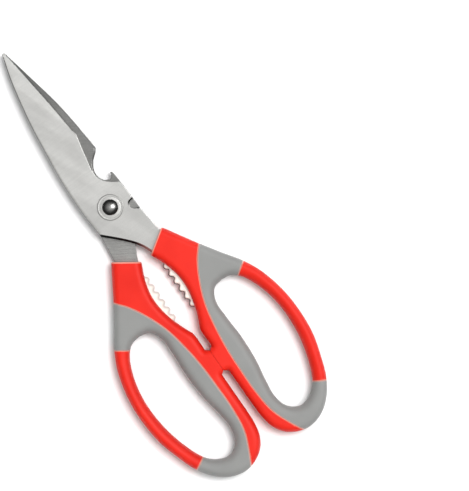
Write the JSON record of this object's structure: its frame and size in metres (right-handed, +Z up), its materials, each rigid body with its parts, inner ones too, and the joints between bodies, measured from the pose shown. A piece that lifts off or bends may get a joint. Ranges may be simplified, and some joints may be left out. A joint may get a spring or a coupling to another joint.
{
  "type": "poultry shears",
  "caption": "Riveted shears with long tapered blades, a bottle opener in the spine, closed finger loops and a toothed nutcracker between the handles.",
  "frame": {"origin": "middle of the closed shears' bounding box, on the surface that they lie on", "axes": "+Y from the handles towards the blade tips, +X towards the handle of the upper blade, +Z up out of the upper blade's face; the rivet's axis is vertical at y = 0.0233 m"},
  "size_m": [0.0848, 0.2114, 0.012],
  "materials": {
    "blade_steel": "finely brushed, satin",
    "polished_steel": "polished",
    "jaw_metal": "bright, satin",
    "red_plastic": "semi-gloss",
    "grey_soft_grip": "soft touch, matt"
  },
  "bodies": {
    "rear_half": {"rear_blade": "blade_steel", "pivot_rivet": "polished_steel", "rear_washer": "polished_steel", "rivet_cap": "polished_steel", "rear_handle_core": "red_plastic", "rear_grip": "grey_soft_grip", "rear_jaw": "jaw_metal"},
    "front_half": {"front_blade": "blade_steel", "front_washer": "polished_steel", "front_handle_core": "red_plastic", "front_grip": "grey_soft_grip", "front_jaw": "jaw_metal"}
  },
  "joints": [
    {"name": "blade_pivot", "type": "hinge", "parent": "rear_half", "child": "front_half", "pos_m": [0, 0.0233, 0.006], "axis": [0, 0, 1], "range_deg": [0, 117]}
  ]
}
